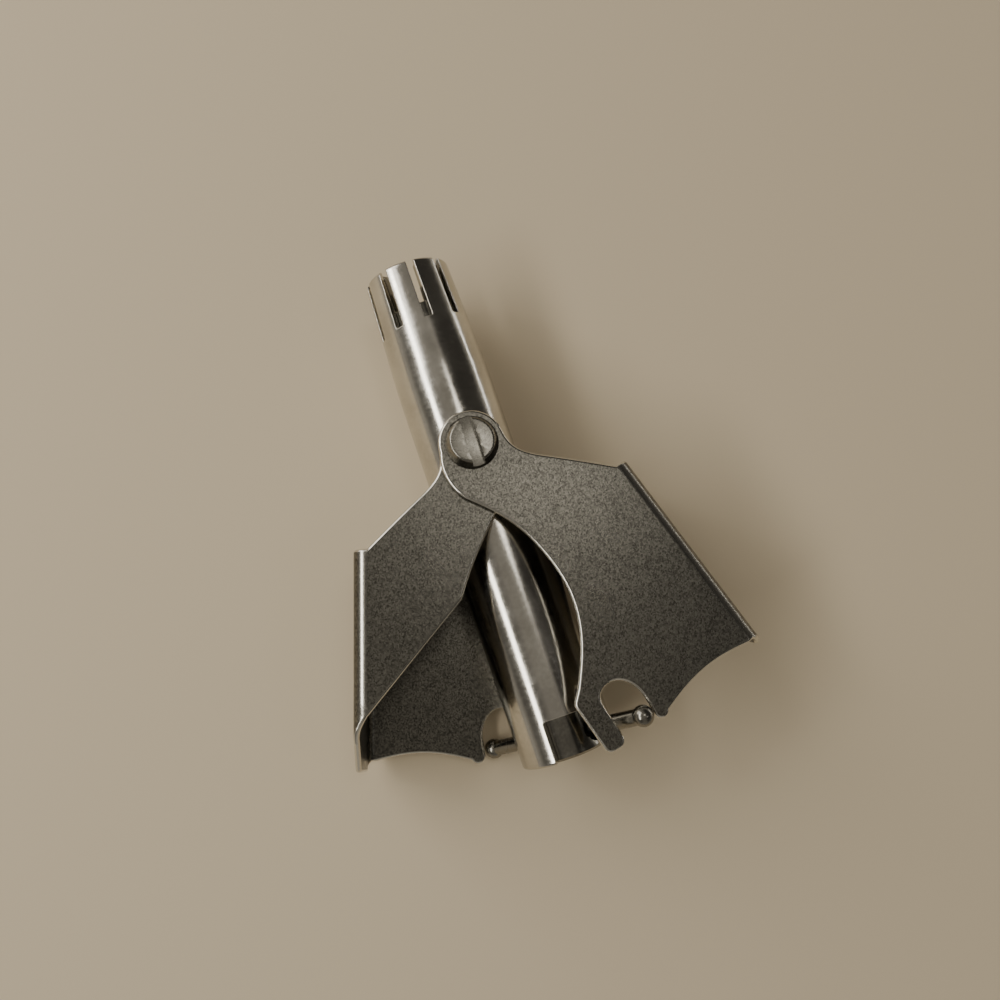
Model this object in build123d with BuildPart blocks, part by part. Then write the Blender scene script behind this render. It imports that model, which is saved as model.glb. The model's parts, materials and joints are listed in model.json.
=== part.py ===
"""Manual squeeze trimmer: a slotted head tube, a rotary inner cutter and two pivoting sheet wings."""
import os
from math import cos, radians, sin

from build123d import *

# Places along the tube are counted from the pivot, +Y towards the cutting head.
pivot_y = 5.72

tube_r = 5.0
tube_bore_r = 4.1
tube_tip = 21.0
tube_end = -32.1
taper_start = 9.0
tip_r = 4.55
tip_round = 0.4

slot_count = 9
slot_width = 0.85
slot_depth = 6.5
slot_phase = 4.0

window_height = 4.2
window_from = -24.5
window_to = 56.0

cutter_r = 4.02
cutter_bore_r = 3.2
cutter_bore_depth = 17.0
cutter_tip = 20.7
cutter_slot_root = 16.4
cutter_slot_width = 0.9
cutter_slot_overrun = 0.6
cutter_chamfer = 0.25

pin_y = -30.1
pin_angle = 43.1
pin_r = 0.8
pin_recess_r = 1.3
pin_recess_depth = 0.9
ball_r = 1.05
ball_reach = 10.1
axis_z = ball_reach * cos(radians(pin_angle)) + ball_r

sheet = 0.6
stack_gap = 0.1
collar_top = 5.7
small_plate_z = collar_top + stack_gap
large_plate_z = small_plate_z + sheet + stack_gap
large_top_z = large_plate_z + sheet
head_z = large_top_z + stack_gap
eye_r = 3.3
neck_r = 1.9
eye_clearance = 0.05
eye_hole_r = neck_r + eye_clearance

collar_r = 3.1
spigot_r = 1.7
spigot_foot_z = 4.2
thread_r = 1.0
thread_foot_z = 4.7

screw_head_r = 2.65
screw_head_height = 1.15
screw_head_taper = 22.0
screw_head_round = 0.3
screw_slot_width = 1.2
screw_slot_depth = 0.75
screw_slot_angle = 89.0

fold_r = 1.4
fold_angle = 17.5
wall_distance = 11.65
wall_top = 10.2
plate_top = wall_top + 0.1
diagonal_end = 27.5
plate_corner = 31.6
tab_end = 32.5
finger_round = 0.75
fold_start = wall_distance - fold_r
past_wall = wall_distance + 1.0
channel_reach = 60.0


centre = (0, pivot_y, axis_z)
front = Plane(origin=centre, x_dir=(1, 0, 0), z_dir=(0, 0, 1))
back = Plane(origin=centre, x_dir=(-1, 0, 0), z_dir=(0, 0, -1))
side = Plane(origin=centre, x_dir=(0, 1, 0), z_dir=(1, 0, 0))
tube_axis = Axis(centre, (0, 1, 0))


def across(y):
    """Plane across the tube at y: its angles run from the front line towards +X."""
    return Plane(origin=(0, pivot_y + y, axis_z), x_dir=(0, 0, 1), z_dir=(0, 1, 0))


def polar(radius, angle):
    return (radius * cos(radians(angle)), radius * sin(radians(angle)))


def beside_fold(distance, along):
    """Point in a wing's plan: its distance out from the pivot, and how far down the fold it lies."""
    lean = radians(fold_angle)
    return (distance * cos(lean) + along * sin(lean), distance * sin(lean) - along * cos(lean))


def save(piece, label):
    piece.part.label = label
    export_step(piece.part, f"parts/{label}.step")


def outer_tube():
    """Head tube: tapered, slotted cutting end, pivot holes, and two open windows for the drive pin."""
    with BuildPart() as tube:
        with BuildSketch(side):
            with BuildLine():
                Polyline(
                    (tube_end, tube_bore_r),
                    (tube_end, tube_r),
                    (taper_start, tube_r),
                    (tube_tip, tip_r),
                    (tube_tip, tube_bore_r),
                    close=True,
                )
            make_face()
        revolve(axis=tube_axis)
        tip_edges = tube.edges().filter_by(GeomType.CIRCLE).group_by(Axis.Y)[-1]
        fillet(tip_edges.sort_by(SortBy.RADIUS)[-1], tip_round)
        with BuildSketch(across(tube_tip)):
            with PolarLocations(tube_r, slot_count, start_angle=slot_phase):
                Rectangle(2 * (tube_r - cutter_bore_r), slot_width)
        extrude(amount=-slot_depth, mode=Mode.SUBTRACT)
        for turn in (0, 180):
            with BuildSketch(across(tube_end)):
                with BuildLine():
                    Polyline(
                        (0, 0),
                        polar(2 * tube_r, turn + window_from),
                        polar(2 * tube_r, turn + (window_from + window_to) / 2),
                        polar(2 * tube_r, turn + window_to),
                        close=True,
                    )
                make_face()
            extrude(amount=window_height, mode=Mode.SUBTRACT)
        with BuildSketch(front):
            Circle(spigot_r)
        extrude(amount=2 * tube_r, both=True, mode=Mode.SUBTRACT)
    save(tube, "outer_tube")


def inner_cutter():
    """Rotary cutter: a bored rod with slots that line up with the tube's, and a recessed cross hole."""
    with BuildPart() as cutter:
        with BuildSketch(side):
            with BuildLine():
                Polyline(
                    (tube_end, 0),
                    (tube_end, cutter_r),
                    (cutter_tip, cutter_r),
                    (cutter_tip, cutter_bore_r),
                    (cutter_tip - cutter_bore_depth, cutter_bore_r),
                    (cutter_tip - cutter_bore_depth - cutter_bore_r / 2, 0),
                    close=True,
                )
            make_face()
        revolve(axis=tube_axis)
        chamfer(cutter.edges().filter_by(GeomType.CIRCLE).group_by(Axis.Y)[0], cutter_chamfer)
        with BuildSketch(across(cutter_tip)):
            with PolarLocations(cutter_r, slot_count, start_angle=slot_phase):
                Rectangle(2 * (cutter_r - cutter_bore_r) + cutter_slot_overrun, cutter_slot_width)
        extrude(amount=cutter_slot_root - cutter_tip, mode=Mode.SUBTRACT)
        with BuildSketch(pin_plane()):
            Circle(pin_r)
        extrude(amount=2 * cutter_r, both=True, mode=Mode.SUBTRACT)
        for side_sign in (-1, 1):
            with BuildSketch(pin_plane().offset(side_sign * (cutter_r - pin_recess_depth))):
                Circle(pin_recess_r)
            extrude(amount=side_sign * cutter_r, mode=Mode.SUBTRACT)
    save(cutter, "inner_cutter")


def pin_plane():
    """Plane at the pin's middle, square to the pin."""
    direction = (sin(radians(pin_angle)), 0, cos(radians(pin_angle)))
    return Plane(origin=(0, pivot_y + pin_y, axis_z), x_dir=(0, 1, 0), z_dir=direction)


def drive_pin():
    """Cross pin through the cutter with a ball at each end, one in each wing's notch."""
    with BuildPart() as pin:
        with BuildSketch(pin_plane()):
            Circle(pin_r)
        extrude(amount=ball_reach, both=True)
        for end in (-ball_reach, ball_reach):
            with Locations(pin_plane().offset(end)):
                Sphere(ball_r)
    save(pin, "drive_pin")


def pivot_collar(base, label):
    """Saddle collar on the tube: a spigot in its wall, a shoulder, and the neck that both eyes turn on."""
    with BuildPart() as collar:
        with BuildSketch(base):
            Circle(collar_r)
        extrude(amount=collar_top)
        with Locations(base):
            Cylinder(tube_r, 4 * tube_r, rotation=(90, 0, 0), mode=Mode.SUBTRACT)
        with BuildSketch(base.offset(spigot_foot_z)):
            Circle(spigot_r)
        extrude(amount=collar_top - spigot_foot_z)
        with BuildSketch(base.offset(collar_top)):
            Circle(neck_r)
        extrude(amount=head_z - collar_top)
        with BuildSketch(base.offset(spigot_foot_z)):
            Circle(thread_r)
        extrude(amount=head_z - spigot_foot_z, mode=Mode.SUBTRACT)
    save(collar, label)


def pivot_screw(base, label):
    """Slotted screw: a tapered head that holds both eyes on the collar's neck."""
    with BuildPart() as screw:
        with BuildSketch(base.offset(head_z)):
            Circle(screw_head_r)
        extrude(amount=screw_head_height, taper=screw_head_taper)
        rims = screw.edges().filter_by(GeomType.CIRCLE).sort_by(SortBy.RADIUS)
        fillet(rims[0], screw_head_round)
        with BuildSketch(base.offset(head_z + screw_head_height)):
            Rectangle(3 * screw_head_r, screw_slot_width, rotation=screw_slot_angle)
        extrude(amount=-screw_slot_depth, mode=Mode.SUBTRACT)
        with BuildSketch(base.offset(thread_foot_z)):
            Circle(thread_r)
        extrude(amount=head_z - thread_foot_z)
    save(screw, label)


def top_edge():
    """Edge from the eye to the fold and past it, shared by a wing's two plates."""
    Spline((3.2, 0.8), (3.75, -1.3), (6.9, -3.6), beside_fold(fold_start, plate_top))
    Polyline(
        beside_fold(fold_start, plate_top),
        beside_fold(past_wall, plate_top),
    )


def neck_edge():
    """Edge of the neck round the left of the eye, closed inside the eye."""
    ThreePointArc((-2.3, -5.15), (-3.5, -2.7), (-eye_r, 0))
    Line((-eye_r, 0), (3.2, 0.8))


def wing(base, label):
    """One wing: a channel of sheet, with a long plate that ends in the drive notch, and a short plate."""
    lean = radians(fold_angle)
    outward = base.x_dir * cos(lean) + base.y_dir * sin(lean)
    along = base.x_dir * sin(lean) - base.y_dir * cos(lean)
    section = Plane(origin=centre, x_dir=outward, z_dir=along)
    wall = Plane(origin=Vector(*centre) + outward * past_wall, x_dir=along, z_dir=-outward)
    middle_z = (large_top_z - small_plate_z - sheet) / 2
    height = large_top_z + small_plate_z + sheet
    with BuildPart() as channel:
        with BuildSketch(section):
            with Locations((wall_distance - channel_reach / 2, middle_z)):
                RectangleRounded(channel_reach, height, fold_r)
            with Locations((wall_distance - sheet - channel_reach / 2, middle_z)):
                RectangleRounded(channel_reach, height - 2 * sheet, fold_r - sheet, mode=Mode.SUBTRACT)
        extrude(amount=channel_reach, both=True)
    with BuildPart() as piece:
        with BuildSketch(base.offset(large_plate_z)):
            with BuildLine():
                top_edge()
                Polyline(
                    beside_fold(past_wall, plate_top),
                    beside_fold(past_wall, plate_corner),
                    beside_fold(fold_start, plate_corner),
                )
                Spline(beside_fold(fold_start, plate_corner), (15.9, -27.5), (12.4, -28.75), (9.6, -30.4))
                ThreePointArc((9.6, -30.4), (8.55, -30.95), (8.05, -30.3))
                Spline((8.05, -30.3), (7.8, -28.9), (7.0, -27.1), (5.3, -26.2), (3.9, -26.9), (4.0, -29.0))
                finger = ((4.0, -29.0), (4.8, -32.05), (2.65, -32.5), (1.05, -27.1), (1.9, -25.8))
                FilletPolyline(*finger, radius=finger_round)
                Spline((1.9, -25.8), (3.55, -22.0), (4.25, -17.2), (3.3, -12.9), (1.0, -8.5), (-2.3, -5.15))
                neck_edge()
            make_face()
            Circle(eye_r)
        extrude(amount=sheet)
        with BuildSketch(base.offset(-small_plate_z)):
            with BuildLine():
                top_edge()
                Polyline(
                    beside_fold(past_wall, plate_top),
                    beside_fold(past_wall, diagonal_end + 1.2),
                    beside_fold(fold_start, diagonal_end - 1.5),
                    (5.75, -14.2),
                )
                Spline((5.75, -14.2), (4.3, -12.2), (2.0, -9.5), (-2.3, -5.15))
                neck_edge()
            make_face()
            Circle(eye_r)
        extrude(amount=-sheet)
        with BuildSketch(wall):
            with BuildLine():
                Polyline(
                    (wall_top, -small_plate_z),
                    (wall_top, large_plate_z),
                    (plate_corner, large_plate_z),
                    (tab_end, large_plate_z - 1.1),
                    (tab_end - 1, -2.6),
                    (diagonal_end + 1.1, -small_plate_z + 0.8),
                    (diagonal_end, -small_plate_z),
                    close=True,
                )
            make_face()
        extrude(amount=fold_r + past_wall - wall_distance)
        add(channel.part, mode=Mode.INTERSECT)
        with BuildSketch(base):
            Circle(eye_hole_r)
        extrude(amount=2 * large_top_z, both=True, mode=Mode.SUBTRACT)
    save(piece, label)


os.makedirs("parts", exist_ok=True)
outer_tube()
inner_cutter()
drive_pin()
for base, place in ((front, "front"), (back, "back")):
    pivot_collar(base, f"pivot_collar_{place}")
    pivot_screw(base, f"pivot_screw_{place}")
wing(front, "right_wing")
wing(back, "left_wing")
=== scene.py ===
import json

import bpy
import numpy as np
from mathutils import Matrix, Vector
from mathutils.geometry import delaunay_2d_cdt


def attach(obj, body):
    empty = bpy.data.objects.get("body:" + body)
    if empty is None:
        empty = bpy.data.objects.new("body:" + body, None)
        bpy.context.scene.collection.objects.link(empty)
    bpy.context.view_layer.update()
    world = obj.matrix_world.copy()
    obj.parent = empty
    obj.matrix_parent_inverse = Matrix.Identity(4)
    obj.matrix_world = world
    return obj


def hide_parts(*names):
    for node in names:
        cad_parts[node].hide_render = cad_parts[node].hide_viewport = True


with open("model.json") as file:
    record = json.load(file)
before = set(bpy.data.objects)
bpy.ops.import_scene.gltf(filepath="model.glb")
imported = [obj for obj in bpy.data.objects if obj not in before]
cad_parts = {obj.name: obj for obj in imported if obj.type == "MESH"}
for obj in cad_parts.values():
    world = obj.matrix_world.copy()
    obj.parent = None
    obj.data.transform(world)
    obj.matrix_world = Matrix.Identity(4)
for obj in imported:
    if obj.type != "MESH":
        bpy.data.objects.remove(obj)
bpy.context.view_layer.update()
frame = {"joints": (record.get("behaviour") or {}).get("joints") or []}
mm = 0.001
tiny = 1e-4  # lengths below this, in mm, count as none, and surfaces are differenced over it
roundSegments = 120  # round pieces turned about an axis
sharpFrom = 30  # degrees between two faces from which their edge is drawn sharp
bevelFrom = 40  # degrees from which a cut edge is eased
# Both wings turn here, on the tube's axis. Lengths below count from it, in mm.
pivot = np.array(frame["joints"][0]["pos_m"]) / mm
print("frame loaded")


# Natural cubic through the points, each coordinate over the length of the chords.
def smoothThrough(points, step=0.25):
    p = np.array(points, float)
    chord = np.linalg.norm(np.diff(p, axis=0), axis=1)
    t = np.concatenate([[0], np.cumsum(chord)])
    inner = np.arange(1, len(p) - 1)
    system = np.eye(len(p))
    system[inner, inner - 1] = chord[:-1]
    system[inner, inner] = 2 * (chord[:-1] + chord[1:])
    system[inner, inner + 1] = chord[1:]
    right = np.zeros_like(p)
    right[inner] = 6 * np.diff(np.diff(p, axis=0) / chord[:, None], axis=0)
    bow = np.linalg.solve(system, right)
    at = np.linspace(0, t[-1], int(np.ceil(t[-1] / step)) + 1)
    k = np.clip(np.searchsorted(t, at, side="right") - 1, 0, len(p) - 2)
    after = (t[k + 1] - at)[:, None]
    before = (at - t[k])[:, None]
    span = chord[k][:, None]
    curve = (bow[k] * after**3 + bow[k + 1] * before**3) / (6 * span)
    fromStart = (p[k] / span - bow[k] * span / 6) * after
    fromStop = (p[k + 1] / span - bow[k + 1] * span / 6) * before
    return curve + fromStart + fromStop


# Circle arc about a centre from one angle to the other, in degrees.
def arc(centre, radius, start, stop, step=0.2):
    count = int(np.ceil(abs(np.radians(stop - start)) * radius / step)) + 2
    a = np.radians(np.linspace(start, stop, count))
    return np.stack([centre[0] + radius * np.cos(a), centre[1] + radius * np.sin(a)], axis=1)


# Circle arc from a to c that passes through b.
def arcThrough(a, b, c):
    a, b, c = (np.array(p, float) for p in (a, b, c))
    sides = 2 * np.array([b - a, c - a])
    centre = np.linalg.solve(sides, [b @ b - a @ a, c @ c - a @ a])
    start, middle, stop = (np.degrees(np.arctan2(*(p - centre)[::-1])) for p in (a, b, c))
    middle = start + (middle - start + 180) % 360 - 180
    stop = middle + (stop - middle + 180) % 360 - 180
    return arc(centre, np.linalg.norm(a - centre), start, stop)


# Straight runs between the points, with a tangent arc of the given radius at each inner corner.
def rounded(points, radius, step=0.25):
    p = np.array(points, float)
    run = [p[:1]]
    for before, corner, after in zip(p[:-2], p[1:-1], p[2:]):
        back = (before - corner) / np.linalg.norm(before - corner)
        on = (after - corner) / np.linalg.norm(after - corner)
        half = np.arccos(np.clip(back @ on, -1, 1)) / 2
        centre = corner + (back + on) / np.linalg.norm(back + on) * radius / np.sin(half)
        touch = corner + back * radius / np.tan(half)
        leave = corner + on * radius / np.tan(half)
        middle = centre + (corner - centre) / np.linalg.norm(corner - centre) * radius
        run.append(arcThrough(touch, middle, leave))
    run.append(p[-1:])
    return divided(np.concatenate(run), step)


# The same runs with points no further apart than step.
def divided(points, step=0.25):
    p = np.array(points, float)
    length = np.linalg.norm(np.diff(p, axis=0), axis=1)
    counts = np.maximum(np.ceil(length / step).astype(int), 1)
    parts = [np.linspace(a, b, n, endpoint=False) for a, b, n in zip(p[:-1], p[1:], counts)]
    return np.concatenate(parts + [p[-1:]])


# The runs end to end, without the points that repeat where they meet.
def joined(*runs):
    p = np.concatenate([np.array(r, float) for r in runs])
    keep = np.ones(len(p), bool)
    keep[1:] = np.linalg.norm(np.diff(p, axis=0), axis=1) > tiny
    return p[keep]


# Unit normal to the left of an edge's run at each point, lengthened at corners so an inset keeps its width.
def leftOf(points, closed):
    leastCosine = 0.6  # a sharper corner than this isn't lengthened any further
    if closed:
        ahead = np.roll(points, -1, axis=0) - points
        behind = np.roll(ahead, 1, axis=0)
    else:
        step = np.diff(points, axis=0)
        ahead = np.concatenate([step, step[-1:]])
        behind = np.concatenate([step[:1], step])
    ahead = ahead / np.linalg.norm(ahead, axis=1, keepdims=True)
    behind = behind / np.linalg.norm(behind, axis=1, keepdims=True)
    way = ahead + behind
    way /= np.linalg.norm(way, axis=1, keepdims=True)
    stretch = 1 / np.clip(np.sum(way * ahead, axis=1), leastCosine, 1)
    return np.stack([-way[:, 1], way[:, 0]], axis=1) * stretch[:, None]


# True where a point is inside the closed lines: a ray to the right crosses them an odd number of times.
def insideOf(points, lines):
    atOnce = 3000  # points tested together, to save memory
    start = np.concatenate(lines)
    stop = np.concatenate([np.roll(line, -1, axis=0) for line in lines])
    inside = np.zeros(len(points), bool)
    for part in np.array_split(np.arange(len(points)), max(len(points) // atOnce, 1)):
        x = points[part, 0:1]
        y = points[part, 1:2]
        crosses = (start[:, 1] > y) != (stop[:, 1] > y)
        rise = np.where(stop[:, 1] == start[:, 1], 1, stop[:, 1] - start[:, 1])
        at = start[:, 0] + (stop[:, 0] - start[:, 0]) * (y - start[:, 1]) / rise
        inside[part] = np.sum(crosses & (x < at), axis=1) % 2 == 1
    return inside


# Triangles that fill the flat pattern between its lines, with the grid points that lie inside them.
def fillPattern(lines, across, along, clear):
    grid = np.stack(np.meshgrid(across, along, indexing="ij"), axis=-1).reshape(-1, 2)
    edge = np.concatenate(lines)
    grid = grid[insideOf(grid, lines)]
    near = np.array([np.min(np.abs(edge - g).max(axis=1)) for g in grid])
    grid = grid[near > clear]
    bounds = []
    first = 0
    for line in lines:
        index = first + np.arange(len(line))
        bounds += list(zip(index.tolist(), np.roll(index, -1).tolist()))
        first += len(line)
    points = np.concatenate([edge, grid])
    filled = delaunay_2d_cdt([Vector(p) for p in points], bounds, [], 0, 1e-7)
    source = np.array([origin[0] for origin in filled[3]])
    triangles = source[np.array(filled[2])]
    middle = points[triangles].mean(axis=1)
    return points, triangles[insideOf(middle, lines)]


# Sheet part from its flat pattern. place(u, v, depth) bends the pattern, with depth from 0 on the inner face
# to 1 on the outer. Edges run with the metal on their left, and each is rounded to the radius on both sides.
# A tube's two end edges are open lines from one side of its seam to the other. A function of u marks strips
# that are made smoother and painted lighter as a highlight, and turns counts the steps in each quarter of the
# rounding.
def sheetPart(edges, place, thick, radius, across, along, clear, seam=None, polishAndHighlight=None, turns=4):
    insets = [(run, leftOf(run, closed)) for run, closed in edges]
    lines = [run + normal * radius for run, normal in insets]
    if seam is None:
        pattern = lines
    else:
        low, high = seam
        rise = [v for v in along if lines[0][-1, 1] + clear < v < lines[1][0, 1] - clear]
        up = [(high, v) for v in rise]
        down = [(low, v) for v in rise[::-1]]
        pattern = [np.concatenate([lines[0], up, lines[1], down])] + lines[2:]
    flat, triangles = fillPattern(pattern, across, along, clear)
    total = len(flat)
    outerFace = place(flat[:, 0], flat[:, 1], np.ones(total))
    innerFace = place(flat[:, 0], flat[:, 1], np.zeros(total))

    def faceNormal(p, depth):
        u, v, d = p[:, 0], p[:, 1], np.full(len(p), float(depth))
        acrossWay = place(u + tiny, v, d) - place(u - tiny, v, d)
        alongWay = place(u, v + tiny, d) - place(u, v - tiny, d)
        n = np.cross(acrossWay, alongWay)
        return n / np.linalg.norm(n, axis=1, keepdims=True)

    verts = [outerFace, innerFace]
    normals = [faceNormal(flat, 1), -faceNormal(flat, 0)]
    faces = [triangles, triangles[:, ::-1] + total]
    rims = [np.zeros(total) if polishAndHighlight is None else polishAndHighlight(flat[:, 0]), np.zeros(total)]
    angles = np.concatenate([np.linspace(0, 90, turns + 1)[1:], np.linspace(90, 180, turns + 1)[:-1]])
    first = 2 * total
    starts = np.cumsum([0] + [len(line) for line in lines])
    if seam is not None:
        starts[1] += len(rise)
        starts[2:] += 2 * len(rise)
    quads = []
    for (run, normal), (_, closed), start in zip(insets, edges, starts):
        count = len(run)
        rings = [start + np.arange(count)]
        over = faceNormal(run, 1)
        under = faceNormal(run, 0)
        u, v = run[:, 0], run[:, 1]
        halfway = np.full(count, 0.5)
        outward = place(u - normal[:, 0] * tiny, v - normal[:, 1] * tiny, halfway) - place(u, v, halfway)
        outward /= np.linalg.norm(outward, axis=1, keepdims=True)
        for k, angle in enumerate(np.radians(angles)):
            spot = run + normal * radius * (1 - np.sin(angle))
            if k < turns:
                depth = 1 - radius / thick * (1 - np.cos(angle))
                face = over
            else:
                depth = radius / thick * (1 + np.cos(angle))
                face = under
            verts.append(place(spot[:, 0], spot[:, 1], np.full(count, depth)))
            n = face * np.cos(angle) + outward * np.sin(angle)
            normals.append(n / np.linalg.norm(n, axis=1, keepdims=True))
            # Each edge's rounding is marked rim in full: smooth, and painted in the light rim tone as a
            # highlight.
            rims.append(np.full(count, 1.0))
            rings.append(first + np.arange(count))
            first += count
        rings.append(total + start + np.arange(count))
        for a, b in zip(rings[:-1], rings[1:]):
            if closed:
                quads.append(np.stack([b, np.roll(b, -1), np.roll(a, -1), a], axis=1))
            else:
                quads.append(np.stack([b[:-1], b[1:], a[1:], a[:-1]], axis=1))
    part = {
        "verts": np.concatenate(verts),
        "normals": np.concatenate(normals),
        "rim": np.concatenate(rims),
        "faces": np.concatenate(faces).tolist() + np.concatenate(quads).tolist(),
    }
    return welded(part) if seam is not None else part


# Vertices in the same place become one, which closes the seam of a tube.
def welded(part):
    spots = np.round(part["verts"], 5)
    _, first, which = np.unique(spots, axis=0, return_index=True, return_inverse=True)
    which = which.ravel()
    return {
        "verts": part["verts"][first],
        "normals": part["normals"][first],
        "rim": part["rim"][first],
        "faces": [[int(which[i]) for i in face] for face in part["faces"]],
    }


# Solid of revolution about an axis through a point: a ring of points for each (radius, height) of the profile.
# Radius and height may change round the ring. Two end radii of 0 close it there, or else it closes on itself.
def turned(profile, axis=(0, 1, 0), front=(0, 0, 1), point=(0, 0, 0), segments=roundSegments):
    axis = np.array(axis, float)
    front = np.array(front, float)
    beside = np.cross(axis, front)
    a = np.linspace(0, 2 * np.pi, segments, endpoint=False)
    way = np.cos(a)[:, None] * front + np.sin(a)[:, None] * beside
    radii = [np.broadcast_to(r, segments) for r, _ in profile]
    heights = [np.broadcast_to(h, segments) for _, h in profile]
    rings = [way * r[:, None] + axis * h[:, None] + np.array(point, float) for r, h in zip(radii, heights)]
    ends = np.max(np.abs([radii[0], radii[-1]])) < tiny
    body = rings[1:-1] if ends else rings
    index = [k * segments + np.arange(segments) for k in range(len(body))]
    if not ends:
        index.append(index[0])
    faces = []
    for low, high in zip(index[:-1], index[1:]):
        faces += np.stack([low, np.roll(low, -1), np.roll(high, -1), high], axis=1).tolist()
    verts = np.concatenate(body)
    if ends:
        bottom, top = len(verts), len(verts) + 1
        verts = np.concatenate([verts, rings[0][:1], rings[-1][:1]])
        faces += [[bottom, int(j), int(i)] for i, j in zip(index[0], np.roll(index[0], -1))]
        faces += [[top, int(i), int(j)] for i, j in zip(index[-1], np.roll(index[-1], -1))]
    return {"verts": verts, "faces": faces}


# Half a turn about the tube's axis, which carries each front part to its fellow at the back.
def halfTurn(part):
    flip = np.array([-1, 1, -1])
    twin = dict(part, verts=part["verts"] * flip)
    if "normals" in part:
        twin["normals"] = part["normals"] * flip
    return twin


# Several parts as one, each one's faces counted on from the vertices before it.
def together(*parts):
    offsets = np.cumsum([0] + [len(p["verts"]) for p in parts])
    faces = [[i + int(o) for i in face] for p, o in zip(parts, offsets) for face in p["faces"]]
    return {"verts": np.concatenate([p["verts"] for p in parts]), "faces": faces}


# Mesh and object for a part, moved from the pivot to its place in the frame and scaled from mm to m.
def makePiece(name, part, body, node, material):
    mesh = bpy.data.meshes.new(name)
    mesh.from_pydata(((part["verts"] + pivot) * mm).tolist(), [], part["faces"])
    mesh.update()
    mesh.shade_smooth()
    if "normals" in part:
        rim = mesh.attributes.new("rim", "FLOAT", "POINT")
        rim.data.foreach_set("value", part["rim"])
        mesh.normals_split_custom_set_from_vertices(part["normals"].tolist())
    else:
        mesh.set_sharp_from_angle(angle=np.radians(sharpFrom))
    piece = bpy.data.objects.new(name, mesh)
    bpy.context.scene.collection.objects.link(piece)
    mesh.materials.append(material)
    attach(piece, body)
    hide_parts(node)
    return piece


patchSpan = (0.3, 0.7)  # the part of each noise's range that is spread over the roughness
lineSpan = (0.35, 0.65)


# Bare steel: dark and light tones mixed by soft patches and by a fine grain or flecks, roughness from the
# patches and the rubbed lines, and bump from the grain and the lines. Where "rim" is 1, it is smooth as worn
# metal, and its colour is the light rim tone, a painted highlight.
def steel(name, look):
    material = bpy.data.materials.new(name)
    material.use_nodes = True
    nodes = material.node_tree.nodes
    links = material.node_tree.links
    shader = nodes["Principled BSDF"]
    shader.inputs["Metallic"].default_value = 1.0
    place = nodes.new("ShaderNodeTexCoord").outputs["Object"]

    def noise(scale, stretch=(1, 1, 1)):
        mapping = nodes.new("ShaderNodeMapping")
        mapping.inputs["Scale"].default_value = stretch
        links.new(place, mapping.inputs["Vector"])
        node = nodes.new("ShaderNodeTexNoise")
        node.inputs["Scale"].default_value = scale
        node.inputs["Detail"].default_value = 3
        links.new(mapping.outputs["Vector"], node.inputs["Vector"])
        return node.outputs["Fac"]

    def flecks(scale):
        node = nodes.new("ShaderNodeTexVoronoi")
        node.inputs["Scale"].default_value = scale
        links.new(place, node.inputs["Vector"])
        return node.outputs["Color"]

    def spread(value, low, high, outLow, outHigh):
        node = nodes.new("ShaderNodeMapRange")
        node.inputs["From Min"].default_value = low
        node.inputs["From Max"].default_value = high
        node.inputs["To Min"].default_value = outLow
        node.inputs["To Max"].default_value = outHigh
        links.new(value, node.inputs["Value"])
        return node.outputs["Result"]

    def combine(operation, a, b):
        node = nodes.new("ShaderNodeMath")
        node.operation = operation
        for socket, value in zip(node.inputs, (a, b)):
            if isinstance(value, (int, float)):
                socket.default_value = value
            else:
                links.new(value, socket)
        return node.outputs["Value"]

    patch = noise(look["patchScale"])
    grain = noise(look["grainScale"])
    speck = flecks(look["fleckScale"]) if look["fleckScale"] else grain
    lines = noise(look["lineScale"], look["lineStretch"])
    rim = nodes.new("ShaderNodeAttribute")
    rim.attribute_name = "rim"
    rim = rim.outputs["Fac"]

    tone = nodes.new("ShaderNodeMix")
    tone.data_type = "RGBA"
    tone.inputs["A"].default_value = (*look["darkTone"], 1)
    tone.inputs["B"].default_value = (*look["lightTone"], 1)
    soft = combine("MULTIPLY", patch, 1 - look["speckle"])
    mixed = combine("ADD", soft, combine("MULTIPLY", speck, look["speckle"]))
    links.new(spread(mixed, *look["toneSpan"], 0, 1), tone.inputs["Factor"])
    # The rim tone is a painted highlight on edges and bend strips, lighter than the steel's own tones.
    wornAndHighlight = nodes.new("ShaderNodeMix")
    wornAndHighlight.data_type = "RGBA"
    links.new(tone.outputs["Result"], wornAndHighlight.inputs["A"])
    wornAndHighlight.inputs["B"].default_value = (*look["rimTone"], 1)
    links.new(rim, wornAndHighlight.inputs["Factor"])
    links.new(wornAndHighlight.outputs["Result"], shader.inputs["Base Color"])

    low, high = look["roughness"]
    rubbed = spread(lines, *lineSpan, 0, look["lineRoughness"])
    faceRoughness = combine("ADD", spread(patch, *patchSpan, low, high), rubbed)
    keep = combine("SUBTRACT", 1, rim)
    onFaces = combine("MULTIPLY", faceRoughness, keep)
    polished = combine("ADD", onFaces, combine("MULTIPLY", rim, look["rimRoughness"]))
    links.new(polished, shader.inputs["Roughness"])

    grainRelief = combine("MULTIPLY", grain, look["grainHeight"])
    relief = combine("ADD", grainRelief, combine("MULTIPLY", lines, look["lineHeight"]))
    bump = nodes.new("ShaderNodeBump")
    bump.inputs["Strength"].default_value = look["bump"]
    bump.inputs["Distance"].default_value = look["bumpDepth"] * mm
    links.new(combine("MULTIPLY", relief, keep), bump.inputs["Height"])
    links.new(bump.outputs["Normal"], shader.inputs["Normal"])
    return material


# Its rim tone, far lighter than the sheet, is a painted highlight on the sheet's edges and bends.
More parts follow.
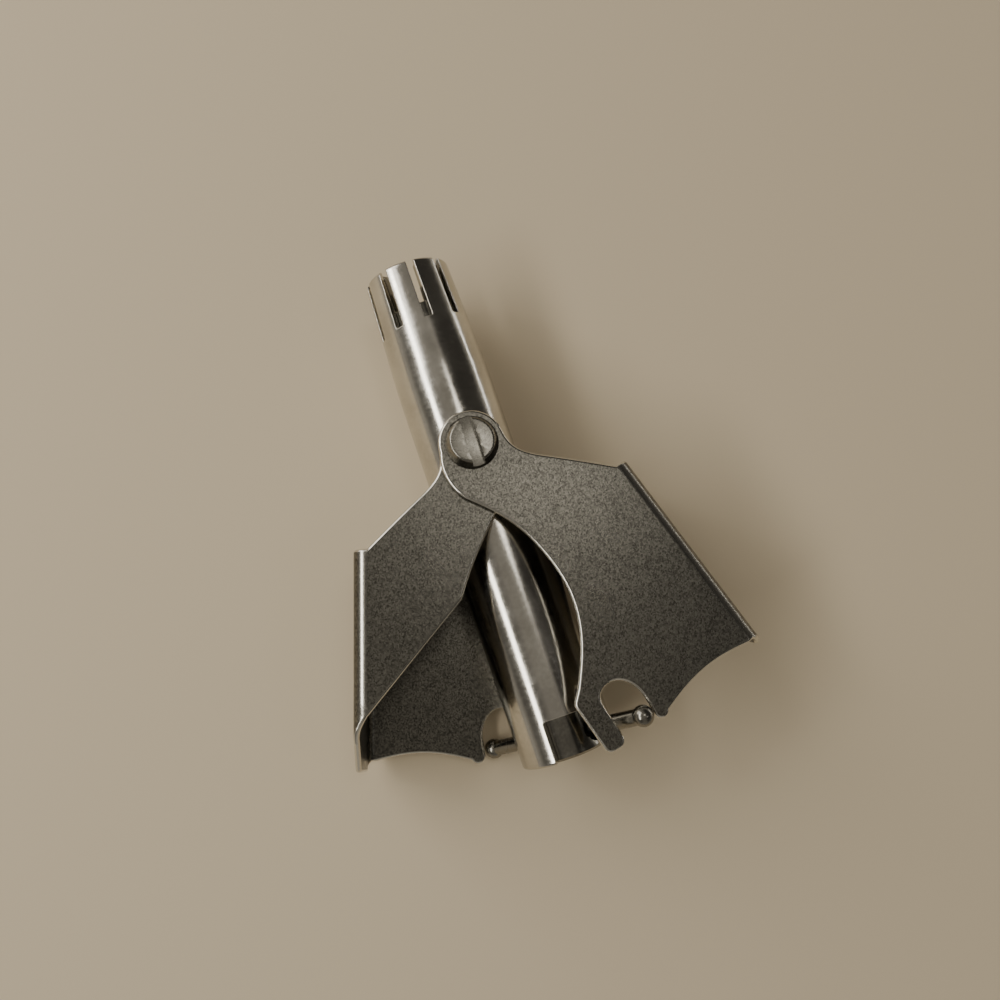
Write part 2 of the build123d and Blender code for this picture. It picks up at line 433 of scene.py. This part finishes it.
satinSheet = steel("satinSheet", {
    "darkTone": (0.056, 0.054, 0.047), "lightTone": (0.215, 0.206, 0.18), "patchScale": 60, "speckle": 0.72,
    "fleckScale": 7500, "toneSpan": (0.2, 0.8), "rimTone": (0.7, 0.68, 0.62),
    "grainScale": 6000, "grainHeight": 1.0, "lineScale": 300, "lineStretch": (1, 1, 1), "lineHeight": 0.2,
    "roughness": (0.255, 0.295), "lineRoughness": 0.02, "rimRoughness": 0.2, "bump": 1.0, "bumpDepth": 0.01,
})
polishedTube = steel("polishedTube", {
    "darkTone": (0.52, 0.5, 0.46), "lightTone": (0.64, 0.62, 0.57), "patchScale": 220, "speckle": 0.3,
    "fleckScale": 0, "toneSpan": (0.38, 0.62), "rimTone": (0.66, 0.64, 0.59),
    "grainScale": 2600, "grainHeight": 0.35, "lineScale": 3000, "lineStretch": (0.5, 1, 0.5), "lineHeight": 1.0,
    "roughness": (0.11, 0.17), "lineRoughness": 0.06, "rimRoughness": 0.14, "bump": 0.5, "bumpDepth": 0.006,
})
# The cutter's tones are darker than the tube's steel: painted shade, because the cutter sits in the tube's
# shade.
cutterSteel = steel("cutterSteel", {
    "darkTone": (0.2, 0.193, 0.172), "lightTone": (0.33, 0.32, 0.29), "patchScale": 260, "speckle": 0.4,
    "fleckScale": 0, "toneSpan": (0.38, 0.62), "rimTone": (0.5, 0.48, 0.44),
    "grainScale": 3200, "grainHeight": 0.4,
    "lineScale": 3400, "lineStretch": (0.08, 1, 0.08), "lineHeight": 1.0,
    "roughness": (0.11, 0.17), "lineRoughness": 0.05, "rimRoughness": 0.2, "bump": 0.2, "bumpDepth": 0.006,
})
turnedSteel = steel("turnedSteel", {
    "darkTone": (0.22, 0.211, 0.186), "lightTone": (0.28, 0.27, 0.24), "patchScale": 420, "speckle": 0.7,
    "fleckScale": 0, "toneSpan": (0.38, 0.62), "rimTone": (0.72, 0.7, 0.64),
    "grainScale": 5200, "grainHeight": 0.6, "lineScale": 2400, "lineStretch": (1, 1, 0.2), "lineHeight": 0.3,
    "roughness": (0.2, 0.26), "lineRoughness": 0.06, "rimRoughness": 0.2, "bump": 0.35, "bumpDepth": 0.008,
})
print("steels mixed")


tube = {
    "radius": 5.0, "bore": 4.1, "tipRadius": 4.55, "tip": 21.0, "end": -32.1,
    "taperStart": 9.0, "tipRound": 0.3, "endRound": 0.3, "roundPart": 0.97,
    "slots": 9, "slotWidth": 0.85, "slotDepth": 6.5, "slotPhase": 4.0, "slotCorner": 0.12,
    "slotRise": 0.15,  # the radius gained from the tip to where a slot's width is measured
    "windowFrom": -24.5, "windowTo": 56.0, "windowHeight": 4.2, "windowCorner": 0.25,
    "pivotHole": 1.7, "edge": 0.09, "clear": 0.05, "turnStep": 3, "rowStep": 1.0,
    "endRows": (0.14, 0.2, 0.27, 0.34, 0.45),  # close together where the ends round over
}
slotPitch = 360 / tube["slots"]
seamStart = tube["slotPhase"] - 6.5 * slotPitch  # the tube and the cutter close here, between two slots


# Place on a tube: round the axis by u over the middle radius, along it by v, and out from the bore to the
# outside, which may change along it.
def tubePlace(bore, radius, outside):
    middle = (bore + radius) / 2

    def place(u, v, depth):
        angle = u / middle
        radius = bore + (outside(v) - bore) * depth
        return np.stack([radius * np.sin(angle), v, radius * np.cos(angle)], axis=1)

    return middle, place


# The outside narrows evenly towards the tip, and at each end it rolls over by most of a quarter circle.
def tubeOutside(v):
    taper = np.clip((v - tube["taperStart"]) / (tube["tip"] - tube["taperStart"]), 0, 1)
    crown = np.clip((v - tube["tip"] + tube["tipRound"]) / tube["tipRound"], 0, tube["roundPart"])
    foot = np.clip((tube["end"] + tube["endRound"] - v) / tube["endRound"], 0, tube["roundPart"])
    narrowing = (tube["tipRadius"] - tube["radius"]) * taper - tube["tipRound"] * (1 - np.sqrt(1 - crown**2))
    return tube["radius"] + narrowing - tube["endRound"] * (1 - np.sqrt(1 - foot**2))


# Turns round the tube between one side of the seam and the other, in degrees.
def turnsFromSeam(step):
    return np.arange(seamStart + step, seamStart + 360 - step / 2, step)


# Edge at the tip, from the seam round to the seam again against the angle, with a slot cut down at each place.
def slottedEdge(middle, tip, root, width):
    half = width / 2
    run = [((seamStart + 360) / 360 * 2 * np.pi * middle, tip)]
    for k in range(tube["slots"]):
        at = np.radians(seamStart + 360 - slotPitch * (k + 0.5)) * middle
        run += [(at + half, tip), (at + half, root), (at - half, root), (at - half, tip)]
    run.append((seamStart / 360 * 2 * np.pi * middle, tip))
    return rounded(run, tube["slotCorner"])


# Fixed tube: a flat pattern with a slotted top edge, two windows in the bottom edge and two pivot holes.
def outerTube():
    middle, place = tubePlace(tube["bore"], tube["radius"], tubeOutside)
    unit = np.pi / 180 * middle
    corner = tube["end"] + tube["windowHeight"]
    bottom = [(seamStart * unit, tube["end"])]
    for turn in (-180, 0):
        left = (tube["windowFrom"] + turn) * unit
        right = (tube["windowTo"] + turn) * unit
        bottom += [(left, tube["end"]), (left, corner), (right, corner), (right, tube["end"])]
    bottom.append(((seamStart + 360) * unit, tube["end"]))
    width = tube["slotWidth"] * middle / (tube["tipRadius"] + tube["slotRise"])
    tip = slottedEdge(middle, tube["tip"], tube["tip"] - tube["slotDepth"], width)
    holes = [arc((turn * unit, 0), tube["pivotHole"], 360, 0)[:-1] for turn in (-180, 0)]
    edges = [(rounded(bottom, tube["windowCorner"]), False), (tip, False)] + [(hole, True) for hole in holes]
    across = turnsFromSeam(tube["turnStep"]) * unit
    endRows = np.array(tube["endRows"])
    rows = np.arange(tube["end"] + tube["rowStep"], tube["tip"] - 1, tube["rowStep"])
    along = np.concatenate([tube["end"] + endRows, rows, tube["tip"] - endRows[::-1]])
    seam = (seamStart * unit, (seamStart + 360) * unit)
    thick = tube["radius"] - tube["bore"]
    part = sheetPart(edges, place, thick, tube["edge"], across, along, tube["clear"], seam)
    makePiece("outerTube", part, "tube", "outer_tube", polishedTube)


pin = {
    "y": -30.1, "angle": 43.1, "radius": 0.8, "ball": 1.05, "reach": 10.1, "stemRing": 6.0, "segments": 64,
    "recess": 1.3, "recessDepth": 0.9, "recessTo": 6.0, "recessEase": 0.06,
}
pinWay = np.array([np.sin(np.radians(pin["angle"])), 0, np.cos(np.radians(pin["angle"]))])
cutter = {
    "radius": 4.02, "bore": 3.2, "tip": 20.7, "slotRoot": 16.4, "slotWidth": 0.9, "boreFoot": 3.7,
    "chamfer": 0.25, "chamferRun": 0.1, "chamferRise": 0.02, "footRing": 2.0, "sideRing": -20.0,
    "drillRadius": 1.5, "drillShoulder": 1.0, "drillPoint": 1.6,
    "edge": 0.06, "clear": 0.1, "footStep": 0.4, "turnStep": 4, "rowStep": 1.5,
}


# Turning cutter: a slotted sleeve like the tube's tip on a solid rod, with a recess round each end of the pin.
def innerCutter():
    middle, place = tubePlace(cutter["bore"], cutter["radius"], lambda v: cutter["radius"])
    unit = np.pi / 180 * middle
    seam = (seamStart * unit, (seamStart + 360) * unit)
    foot = divided([(seam[0], cutter["boreFoot"]), (seam[1], cutter["boreFoot"])], cutter["footStep"])
    width = cutter["slotWidth"] * middle / cutter["radius"]
    tip = slottedEdge(middle, cutter["tip"], cutter["slotRoot"], width)
    edges = [(foot, False), (tip, False)]
    across = turnsFromSeam(cutter["turnStep"]) * unit
    along = np.arange(cutter["boreFoot"] + 1, cutter["tip"], cutter["rowStep"])
    thick = cutter["radius"] - cutter["bore"]
    sleeve = sheetPart(edges, place, thick, cutter["edge"], across, along, cutter["clear"], seam)
    r, c, end, top = cutter["radius"], cutter["chamfer"], tube["end"], cutter["boreFoot"]
    run, rise = cutter["chamferRun"], cutter["chamferRise"]
    rod = turned([
        (0, end), (cutter["footRing"], end), (r - c - run, end), (r - c, end + rise), (r - rise, end + c),
        (r, end + c + run), (r, cutter["sideRing"]), (r, top), (cutter["bore"], top),
        (cutter["drillRadius"], top - cutter["drillShoulder"]), (0, top - cutter["drillPoint"]),
    ])
    part = together(sleeve, rod)
    piece = makePiece("innerCutter", part, "cutter", "inner_cutter", cutterSteel)
    bars = []
    for side in (-1, 1):
        deep, out = side * (r - pin["recessDepth"]), side * pin["recessTo"]
        profile = [(0, deep), (pin["recess"], deep), (pin["recess"], out), (0, out)][::side]
        bars.append(turned(profile, pinWay, (0, 1, 0), (0, pin["y"], 0), pin["segments"]))
    carve(piece, bars, pin["recessEase"])


# Cross pin: most of a ball, the stem, and the same again upside down.
def drivePin():
    neck = np.degrees(np.arcsin(pin["radius"] / pin["ball"]))
    ball = arc((-pin["reach"], 0), pin["ball"], 180, neck, 0.1)
    half = [(abs(r), h) for h, r in ball]
    half[0] = (0, half[0][1])
    profile = half + [(pin["radius"], -pin["stemRing"]), (pin["radius"], 0)]
    profile += [(r, -h) for r, h in profile[-2::-1]]
    part = turned(profile, pinWay, (0, 1, 0), (0, pin["y"], 0), pin["segments"])
    makePiece("drivePin", part, "cutter", "drive_pin", turnedSteel)


wing = {
    "sheet": 0.6, "foldRadius": 1.4, "foldAngle": 17.5, "wallDistance": 11.65, "frontZ": 6.8, "backZ": -6.1,
    "eye": 3.3, "eyeHole": 1.95, "eyeFrom": 14, "eyeTo": 180, "wallTop": 10.2, "diagonalFoot": 26.0,
    # The strip's level, place and width set the line on each bend that is made smoother and painted lighter as
    # a highlight.
    "plateCorner": 31.6, "polishAndHighlightLevel": 0.85, "polishAndHighlightAt": 0.24, "polishAndHighlightWidth": 0.12,
    "edge": 0.28, "clear": 0.12, "gridStep": 1.2, "wallStep": 1.5, "bendRows": 13,
    "gridSide": -4, "gridBack": 15, "gridFoot": -32, "gridTop": 4,
}
# The outline in plan, in mm from the pivot. Each stretch starts at or near the end of another.
outlinePlan = {
    "neck": [(-2.3, -5.15), (-3.5, -2.7), (-3.3, 0)],
    "shoulder": [(3.2, 0.8), (3.75, -1.3), (6.9, -3.6)],
    "lobeSide": [(15.9, -27.5), (12.4, -28.75), (9.6, -30.4)],
    "lobe": [(9.6, -30.4), (8.55, -30.95), (8.05, -30.3)],
    "notch": [(8.05, -30.3), (7.8, -28.9), (7.0, -27.1), (5.3, -26.2), (3.9, -26.9), (4.0, -29.0)],
    "finger": [(4.0, -29.0), (4.8, -32.05), (2.65, -32.5), (1.05, -27.1), (1.9, -25.8)],
    "fingerRound": 0.75,
    "inner": [(1.9, -25.8), (3.55, -22.0), (4.25, -17.2), (3.3, -12.9), (1.0, -8.5), (-2.3, -5.15)],
    "innerBack": [(-2.3, -5.15), (2.0, -9.5), (4.3, -12.2), (5.75, -14.2)],
}
# The foot of the wall on the flat pattern, counted across from where the back plate starts, from the level of
# the tube's axis on the wall, and from where the front plate stops.
footPlan = {
    "back": [(-0.85, -27.3)], "wall": [(5.0, -28.6), (2.6, -31.5), (-5.4, -32.5)], "front": 0.55,
    "corner": 0.4,
}
bendRadius = wing["foldRadius"] - wing["sheet"] / 2
bendStart = wing["wallDistance"] - wing["foldRadius"]
bendLength = bendRadius * np.pi / 2
wallLength = wing["frontZ"] - wing["backZ"] - 2 * bendRadius
backStart = bendStart + 2 * bendLength + wallLength


# The flat pattern folded: long plate, quarter bend, wall, quarter bend, short plate, along the sheet's middle.
def foldedPlace(u, v, depth):
    lean = np.radians(wing["foldAngle"])
    one = np.clip(u - bendStart, 0, bendLength) / bendRadius
    down = np.clip(u - bendStart - bendLength, 0, wallLength)
    two = np.clip(u - bendStart - bendLength - wallLength, 0, bendLength) / bendRadius
    turn = one + two
    out = (depth - 0.5) * wing["sheet"]
    distance = np.minimum(u, bendStart) + (bendRadius + out) * np.sin(turn) - np.maximum(u - backStart, 0)
    drop = bendRadius * (1 - np.cos(one)) + down + bendRadius * np.sin(two)
    height = wing["frontZ"] - drop + out * np.cos(turn)
    x = distance * np.cos(lean) - v * np.sin(lean)
    y = distance * np.sin(lean) + v * np.cos(lean)
    return np.stack([x, y, height], axis=1)


# Both bends carry a narrow line, nearest the plate at each, that is smoother and painted lighter as a
# highlight: a bell curve across the bend.
def foldPolishAndHighlight(u):
    one = np.clip(u - bendStart, 0, bendLength) / bendLength
    two = np.clip(u - backStart + bendLength, 0, bendLength) / bendLength
    strips = [np.exp(-(((part - wing["polishAndHighlightAt"]) / wing["polishAndHighlightWidth"]) ** 2)) for part in (one, 1 - two)]
    return wing["polishAndHighlightLevel"] * (strips[0] + strips[1])


# A point of a plate in plan becomes its distance out from the pivot and its height along the fold.
def frontPattern(points):
    lean = np.radians(wing["foldAngle"])
    x, y = np.array(points, float).T
    return np.stack([x * np.cos(lean) + y * np.sin(lean), y * np.cos(lean) - x * np.sin(lean)], axis=1)


# The short plate's pattern is the same, unfolded past the wall.
def backPattern(points):
    p = frontPattern(points)
    return np.stack([bendStart + backStart - p[:, 0], p[:, 1]], axis=1)


# One wing: its outline on the flat pattern, from the front plate round the wall to the back plate and back.
def wingPart():
    eye = arc((0, 0), wing["eye"], wing["eyeTo"], wing["eyeFrom"])
    neck = arcThrough(*outlinePlan["neck"])
    shoulderFlat = frontPattern(outlinePlan["shoulder"])
    shoulder = smoothThrough([*shoulderFlat, (bendStart, -wing["wallTop"])])
    shoulderBack = shoulder.copy()
    shoulderBack[:, 0] = bendStart + backStart - shoulder[:, 0]
    innerBack = smoothThrough(outlinePlan["innerBack"])
    axisLevel = bendStart + bendLength + wing["frontZ"] - bendRadius
    corner = (bendStart, -wing["plateCorner"])
    wallFoot = rounded([
        backPattern(outlinePlan["innerBack"][-1:])[0],
        (backStart, -wing["diagonalFoot"]),
        *[(backStart + u, v) for u, v in footPlan["back"]],
        *[(axisLevel + u, v) for u, v in footPlan["wall"]],
        (bendStart + footPlan["front"], -wing["plateCorner"]),
        corner,
    ], footPlan["corner"])
    lobeSide = smoothThrough([corner, *frontPattern(outlinePlan["lobeSide"])])
    lobe = arcThrough(*outlinePlan["lobe"])
    notch = smoothThrough(outlinePlan["notch"])
    finger = rounded(outlinePlan["finger"], outlinePlan["fingerRound"])
    inner = smoothThrough(outlinePlan["inner"])
    outline = joined(
        frontPattern(eye), shoulder, [(bendStart, -wing["wallTop"]), (backStart, -wing["wallTop"])],
        shoulderBack[::-1], backPattern(eye[::-1]), backPattern(neck[::-1]), backPattern(innerBack), wallFoot,
        lobeSide, frontPattern(lobe), frontPattern(notch), frontPattern(finger), frontPattern(inner),
        frontPattern(neck),
    )
    outline = divided(np.concatenate([outline, outline[:1]]))[:-1][::-1]
    holes = [arc((centre, 0), wing["eyeHole"], 360, 0)[:-1] for centre in (0, bendStart + backStart)]
    step = wing["gridStep"]
    across = np.concatenate([
        np.arange(wing["gridSide"], bendStart, step),
        np.linspace(bendStart, bendStart + bendLength, wing["bendRows"]),
        np.arange(bendStart + bendLength + 1, backStart - bendLength, wing["wallStep"]),
        np.linspace(backStart - bendLength, backStart, wing["bendRows"]),
        np.arange(backStart + 1, backStart + wing["gridBack"], step),
    ])
    along = np.arange(wing["gridFoot"], wing["gridTop"], step)
    edges = [(outline, True)] + [(hole, True) for hole in holes]
    thick, edge, clear = wing["sheet"], wing["edge"], wing["clear"]
    return sheetPart(edges, foldedPlace, thick, edge, across, along, clear, polishAndHighlight=foldPolishAndHighlight)


# The left wing is the right one turned over about the tube.
def wings():
    right = wingPart()
    makePiece("rightWing", right, "right_wing", "right_wing", satinSheet)
    makePiece("leftWing", halfTurn(right), "left_wing", "left_wing", satinSheet)


stack = {
    "collarRadius": 3.1, "collarTop": 5.7, "collarLip": 0.08, "neckRadius": 1.9, "bore": 1.0,
    "spigotRadius": 1.7, "spigotFoot": 4.2, "threadFoot": 4.7, "threadTip": 0.2,
    "headFoot": 7.2, "headRadius": 2.65, "headHeight": 1.15, "headTaper": 22.0, "headRound": 0.3,
    "headDome": 0.04, "domeRing": 0.45, "domeRingHeight": 0.03, "headLip": 0.06,
    "slotWidth": 1.2, "slotDepth": 0.75, "slotAngle": 89.0, "slotEase": 0.05,
}


# Height of the tube's surface at a distance from the pivot, round the collar.
def saddle(radius):
    a = np.linspace(0, 2 * np.pi, roundSegments, endpoint=False)
    return np.sqrt(tube["radius"]**2 - (radius * np.sin(a))**2)


# Collar between the tube and the screw's head: a spigot in the tube's hole, a flange, and a neck for the eyes.
def collarPart():
    s = stack
    bore, spigot, collar, neck = s["bore"], s["spigotRadius"], s["collarRadius"], s["neckRadius"]
    profile = [
        (bore, s["spigotFoot"]), (spigot, s["spigotFoot"]), (spigot, saddle(spigot)), (collar, saddle(collar)),
        (collar, s["collarTop"] - s["collarLip"]), (collar - s["collarLip"], s["collarTop"]),
        (neck, s["collarTop"]), (neck, s["headFoot"]), (bore, s["headFoot"]),
    ]
    return turned(profile, (0, 0, 1), (0, 1, 0))


# Screw: a tapered head whose rim is an arc tangent to its side and its top, and a shank with a short point.
def screwPart():
    s = stack
    top = s["headFoot"] + s["headHeight"]
    lean = np.radians(s["headTaper"])
    rimRadius = s["headRadius"] - s["headHeight"] * np.tan(lean)
    turn = np.radians(np.linspace(0, 90 - s["headTaper"], 7))
    shift = s["headRound"] * np.tan((np.pi / 2 - lean) / 2)
    flat = rimRadius - shift
    crown = [(flat + s["headRound"] * np.sin(t), top - s["headRound"] * (1 - np.cos(t))) for t in turn]
    head = [(0, top + s["headDome"]), (rimRadius * s["domeRing"], top + s["domeRingHeight"])] + crown
    foot = [(s["headRadius"], s["headFoot"] + s["headLip"]), (s["headRadius"] - s["headLip"], s["headFoot"])]
    shank = [(s["bore"], s["headFoot"]), (s["bore"], s["threadFoot"] + s["threadTip"])]
    point = [(s["bore"] - s["threadTip"], s["threadFoot"]), (0, s["threadFoot"])]
    return turned((head + foot + shank + point)[::-1], (0, 0, 1), (0, 1, 0))


# Each bar is cut out of the piece, then the new sharp edges are eased by a small bevel.
def carve(piece, bars, ease):
    tools = []
    for bar in bars:
        mesh = bpy.data.meshes.new("bar")
        mesh.from_pydata(((bar["verts"] + pivot) * mm).tolist(), [], bar["faces"])
        tool = bpy.data.objects.new("bar", mesh)
        bpy.context.scene.collection.objects.link(tool)
        cut = piece.modifiers.new("cut", "BOOLEAN")
        cut.operation = "DIFFERENCE"
        cut.solver = "EXACT"
        cut.object = tool
        tools.append(tool)
    bevel = piece.modifiers.new("ease", "BEVEL")
    bevel.width = ease * mm
    bevel.segments = 3
    bevel.angle_limit = np.radians(bevelFrom)
    done = bpy.data.meshes.new_from_object(piece.evaluated_get(bpy.context.evaluated_depsgraph_get()))
    piece.modifiers.clear()
    piece.data = done
    done.set_sharp_from_angle(angle=np.radians(sharpFrom))
    for tool in tools:
        bpy.data.objects.remove(tool)


# The driver slot is a box through the head's top, turned by the slot's angle.
def slotBar(turnSign):
    s = stack
    x, y, z = 2 * s["headRadius"], s["slotWidth"] / 2, s["headFoot"] + s["headHeight"]
    corners = np.array([(i * x, j * y, z + k) for k in (-s["slotDepth"], 1) for j in (-1, 1) for i in (-1, 1)])
    a = np.radians(s["slotAngle"])
    spin = np.array([(np.cos(a), np.sin(a), 0), (-np.sin(a), np.cos(a), 0), (0, 0, 1)])
    places = corners @ spin * np.array([turnSign, 1, turnSign])
    sides = [(0, 2, 3, 1), (4, 5, 7, 6), (0, 1, 5, 4), (2, 6, 7, 3), (0, 4, 6, 2), (1, 3, 7, 5)]
    return {"verts": places, "faces": [side[::turnSign] for side in sides]}


# A collar and a screw at the front, and the same turned over at the back.
def pivots():
    for end, turnSign in (("front", 1), ("back", -1)):
        collar = collarPart()
        screw = screwPart()
        if turnSign < 0:
            collar = halfTurn(collar)
            screw = halfTurn(screw)
        makePiece(f"{end}Collar", collar, "tube", f"pivot_collar_{end}", turnedSteel)
        piece = makePiece(f"{end}Screw", screw, "tube", f"pivot_screw_{end}", turnedSteel)
        carve(piece, [slotBar(turnSign)], stack["slotEase"])


outerTube()
print("outer tube slotted")
innerCutter()
print("cutter turned")
drivePin()
wings()
print("wings folded")
pivots()
print("pivots in place")


studio = {
    "floorTone": (0.8, 0.68, 0.49), "floorSize": 0.8, "floorRoughness": 0.7,
    "room": [(0.0, 0.12), (0.2, 0.1), (0.34, 0.27), (0.6, 0.25), (0.65, 0.045), (1.0, 0.05)],
    "roomTint": (1.0, 0.92, 0.78), "horizon": 0.36, "horizonSpan": (0.12, 0.3),
}
lights = {
    "stripLight": {
        "place": (-0.36, 0.05, 0.35), "aim": (0, 0, 0), "size": (0.46, 0.08), "watts": 1.0,
        "colour": (1.0, 0.96, 0.88),
    },
    "topLight": {
        "place": (0.085, 0.08, 0.485), "aim": (0, 0, 0), "size": (0.12, 0.1), "watts": 0.12,
        "colour": (1.0, 0.95, 0.86),
    },
    "windowLight": {
        "place": (0.25, -0.13, 0.42), "aim": (0, -0.03, 0), "size": (0.05, 0.08), "watts": 0.03,
        "colour": (1.0, 0.96, 0.9),
    },
    "sideLight": {
        "place": (-0.27, 0.34, 0.25), "aim": (0, 0, 0), "size": (0.26, 0.4), "watts": 0.9,
        "colour": (1.0, 0.95, 0.88),
    },
    "edgeLight": {
        "place": (0.45, 0.05, 0.04), "aim": (0, 0, 0.01), "size": (0.4, 0.02), "watts": 0.12,
        "colour": (1.0, 0.96, 0.9),
    },
}
view = {
    "fromPivot": (-9.845, -17.406, 93.263), "aim": (0.12139, 0.12706, -0.98444),
    "up": (0.30956, 0.93746, 0.15917), "lens": 32.4,
}


def floor():
    size = studio["floorSize"]
    mesh = bpy.data.meshes.new("floor")
    corners = [(-size, -size, 0), (size, -size, 0), (size, size, 0), (-size, size, 0)]
    mesh.from_pydata(corners, [], [(0, 1, 2, 3)])
    material = bpy.data.materials.new("paleFloor")
    material.use_nodes = True
    shader = material.node_tree.nodes["Principled BSDF"]
    shader.inputs["Base Color"].default_value = (*studio["floorTone"], 1)
    shader.inputs["Roughness"].default_value = studio["floorRoughness"]
    mesh.materials.append(material)
    ground = bpy.data.objects.new("floor", mesh)
    bpy.context.scene.collection.objects.link(ground)


# Room light: a pale horizon, and above it a soft ceiling between a dim left side and a dark right side.
def room():
    world = bpy.data.worlds.new("room")
    world.use_nodes = True
    nodes = world.node_tree.nodes
    links = world.node_tree.links
    direction = nodes.new("ShaderNodeTexCoord")
    split = nodes.new("ShaderNodeSeparateXYZ")
    links.new(direction.outputs["Generated"], split.inputs["Vector"])
    toRight = nodes.new("ShaderNodeMapRange")
    toRight.inputs["From Min"].default_value = -1
    links.new(split.outputs["X"], toRight.inputs["Value"])
    ramp = nodes.new("ShaderNodeValToRGB")
    stops = ramp.color_ramp.elements
    while len(stops) < len(studio["room"]):
        stops.new(0.5)
    for stop, (position, level) in zip(stops, studio["room"]):
        stop.position = position
        stop.color = (*(np.array(studio["roomTint"]) * level), 1)
    links.new(toRight.outputs["Result"], ramp.inputs["Fac"])
    upward = nodes.new("ShaderNodeMapRange")
    upward.inputs["From Min"].default_value, upward.inputs["From Max"].default_value = studio["horizonSpan"]
    links.new(split.outputs["Z"], upward.inputs["Value"])
    mix = nodes.new("ShaderNodeMix")
    mix.data_type = "RGBA"
    mix.inputs["A"].default_value = (*(np.array(studio["roomTint"]) * studio["horizon"]), 1)
    links.new(upward.outputs["Result"], mix.inputs["Factor"])
    links.new(ramp.outputs["Color"], mix.inputs["B"])
    links.new(mix.outputs["Result"], nodes["Background"].inputs["Color"])
    bpy.context.scene.world = world


# A soft rectangular light, seen only in what it lights and in reflections.
def softLight(name, look):
    lamp = bpy.data.lights.new(name, "AREA")
    lamp.shape = "RECTANGLE"
    lamp.size, lamp.size_y = look["size"]
    lamp.energy = look["watts"]
    lamp.color = look["colour"]
    light = bpy.data.objects.new(name, lamp)
    light.location = look["place"]
    way = Vector(look["aim"]) - Vector(look["place"])
    light.rotation_euler = way.to_track_quat("-Z", "Y").to_euler()
    bpy.context.scene.collection.objects.link(light)
    light.visible_camera = False


# The camera's three axes come from where it aims and from a rough up.
def cameraOverTheTool():
    lens = bpy.data.cameras.new("camera")
    lens.lens = view["lens"]
    lens.clip_start = 0.001
    camera = bpy.data.objects.new("camera", lens)
    bpy.context.scene.collection.objects.link(camera)
    back = -Vector(view["aim"]).normalized()
    right = Vector(view["up"]).cross(back).normalized()
    up = back.cross(right)
    turn = Matrix((right, up, back)).transposed().to_4x4()
    camera.matrix_world = Matrix.Translation(Vector(pivot + view["fromPivot"]) * mm) @ turn
    bpy.context.scene.camera = camera


floor()
room()
for name, look in lights.items():
    softLight(name, look)
cameraOverTheTool()
print("studio lit")
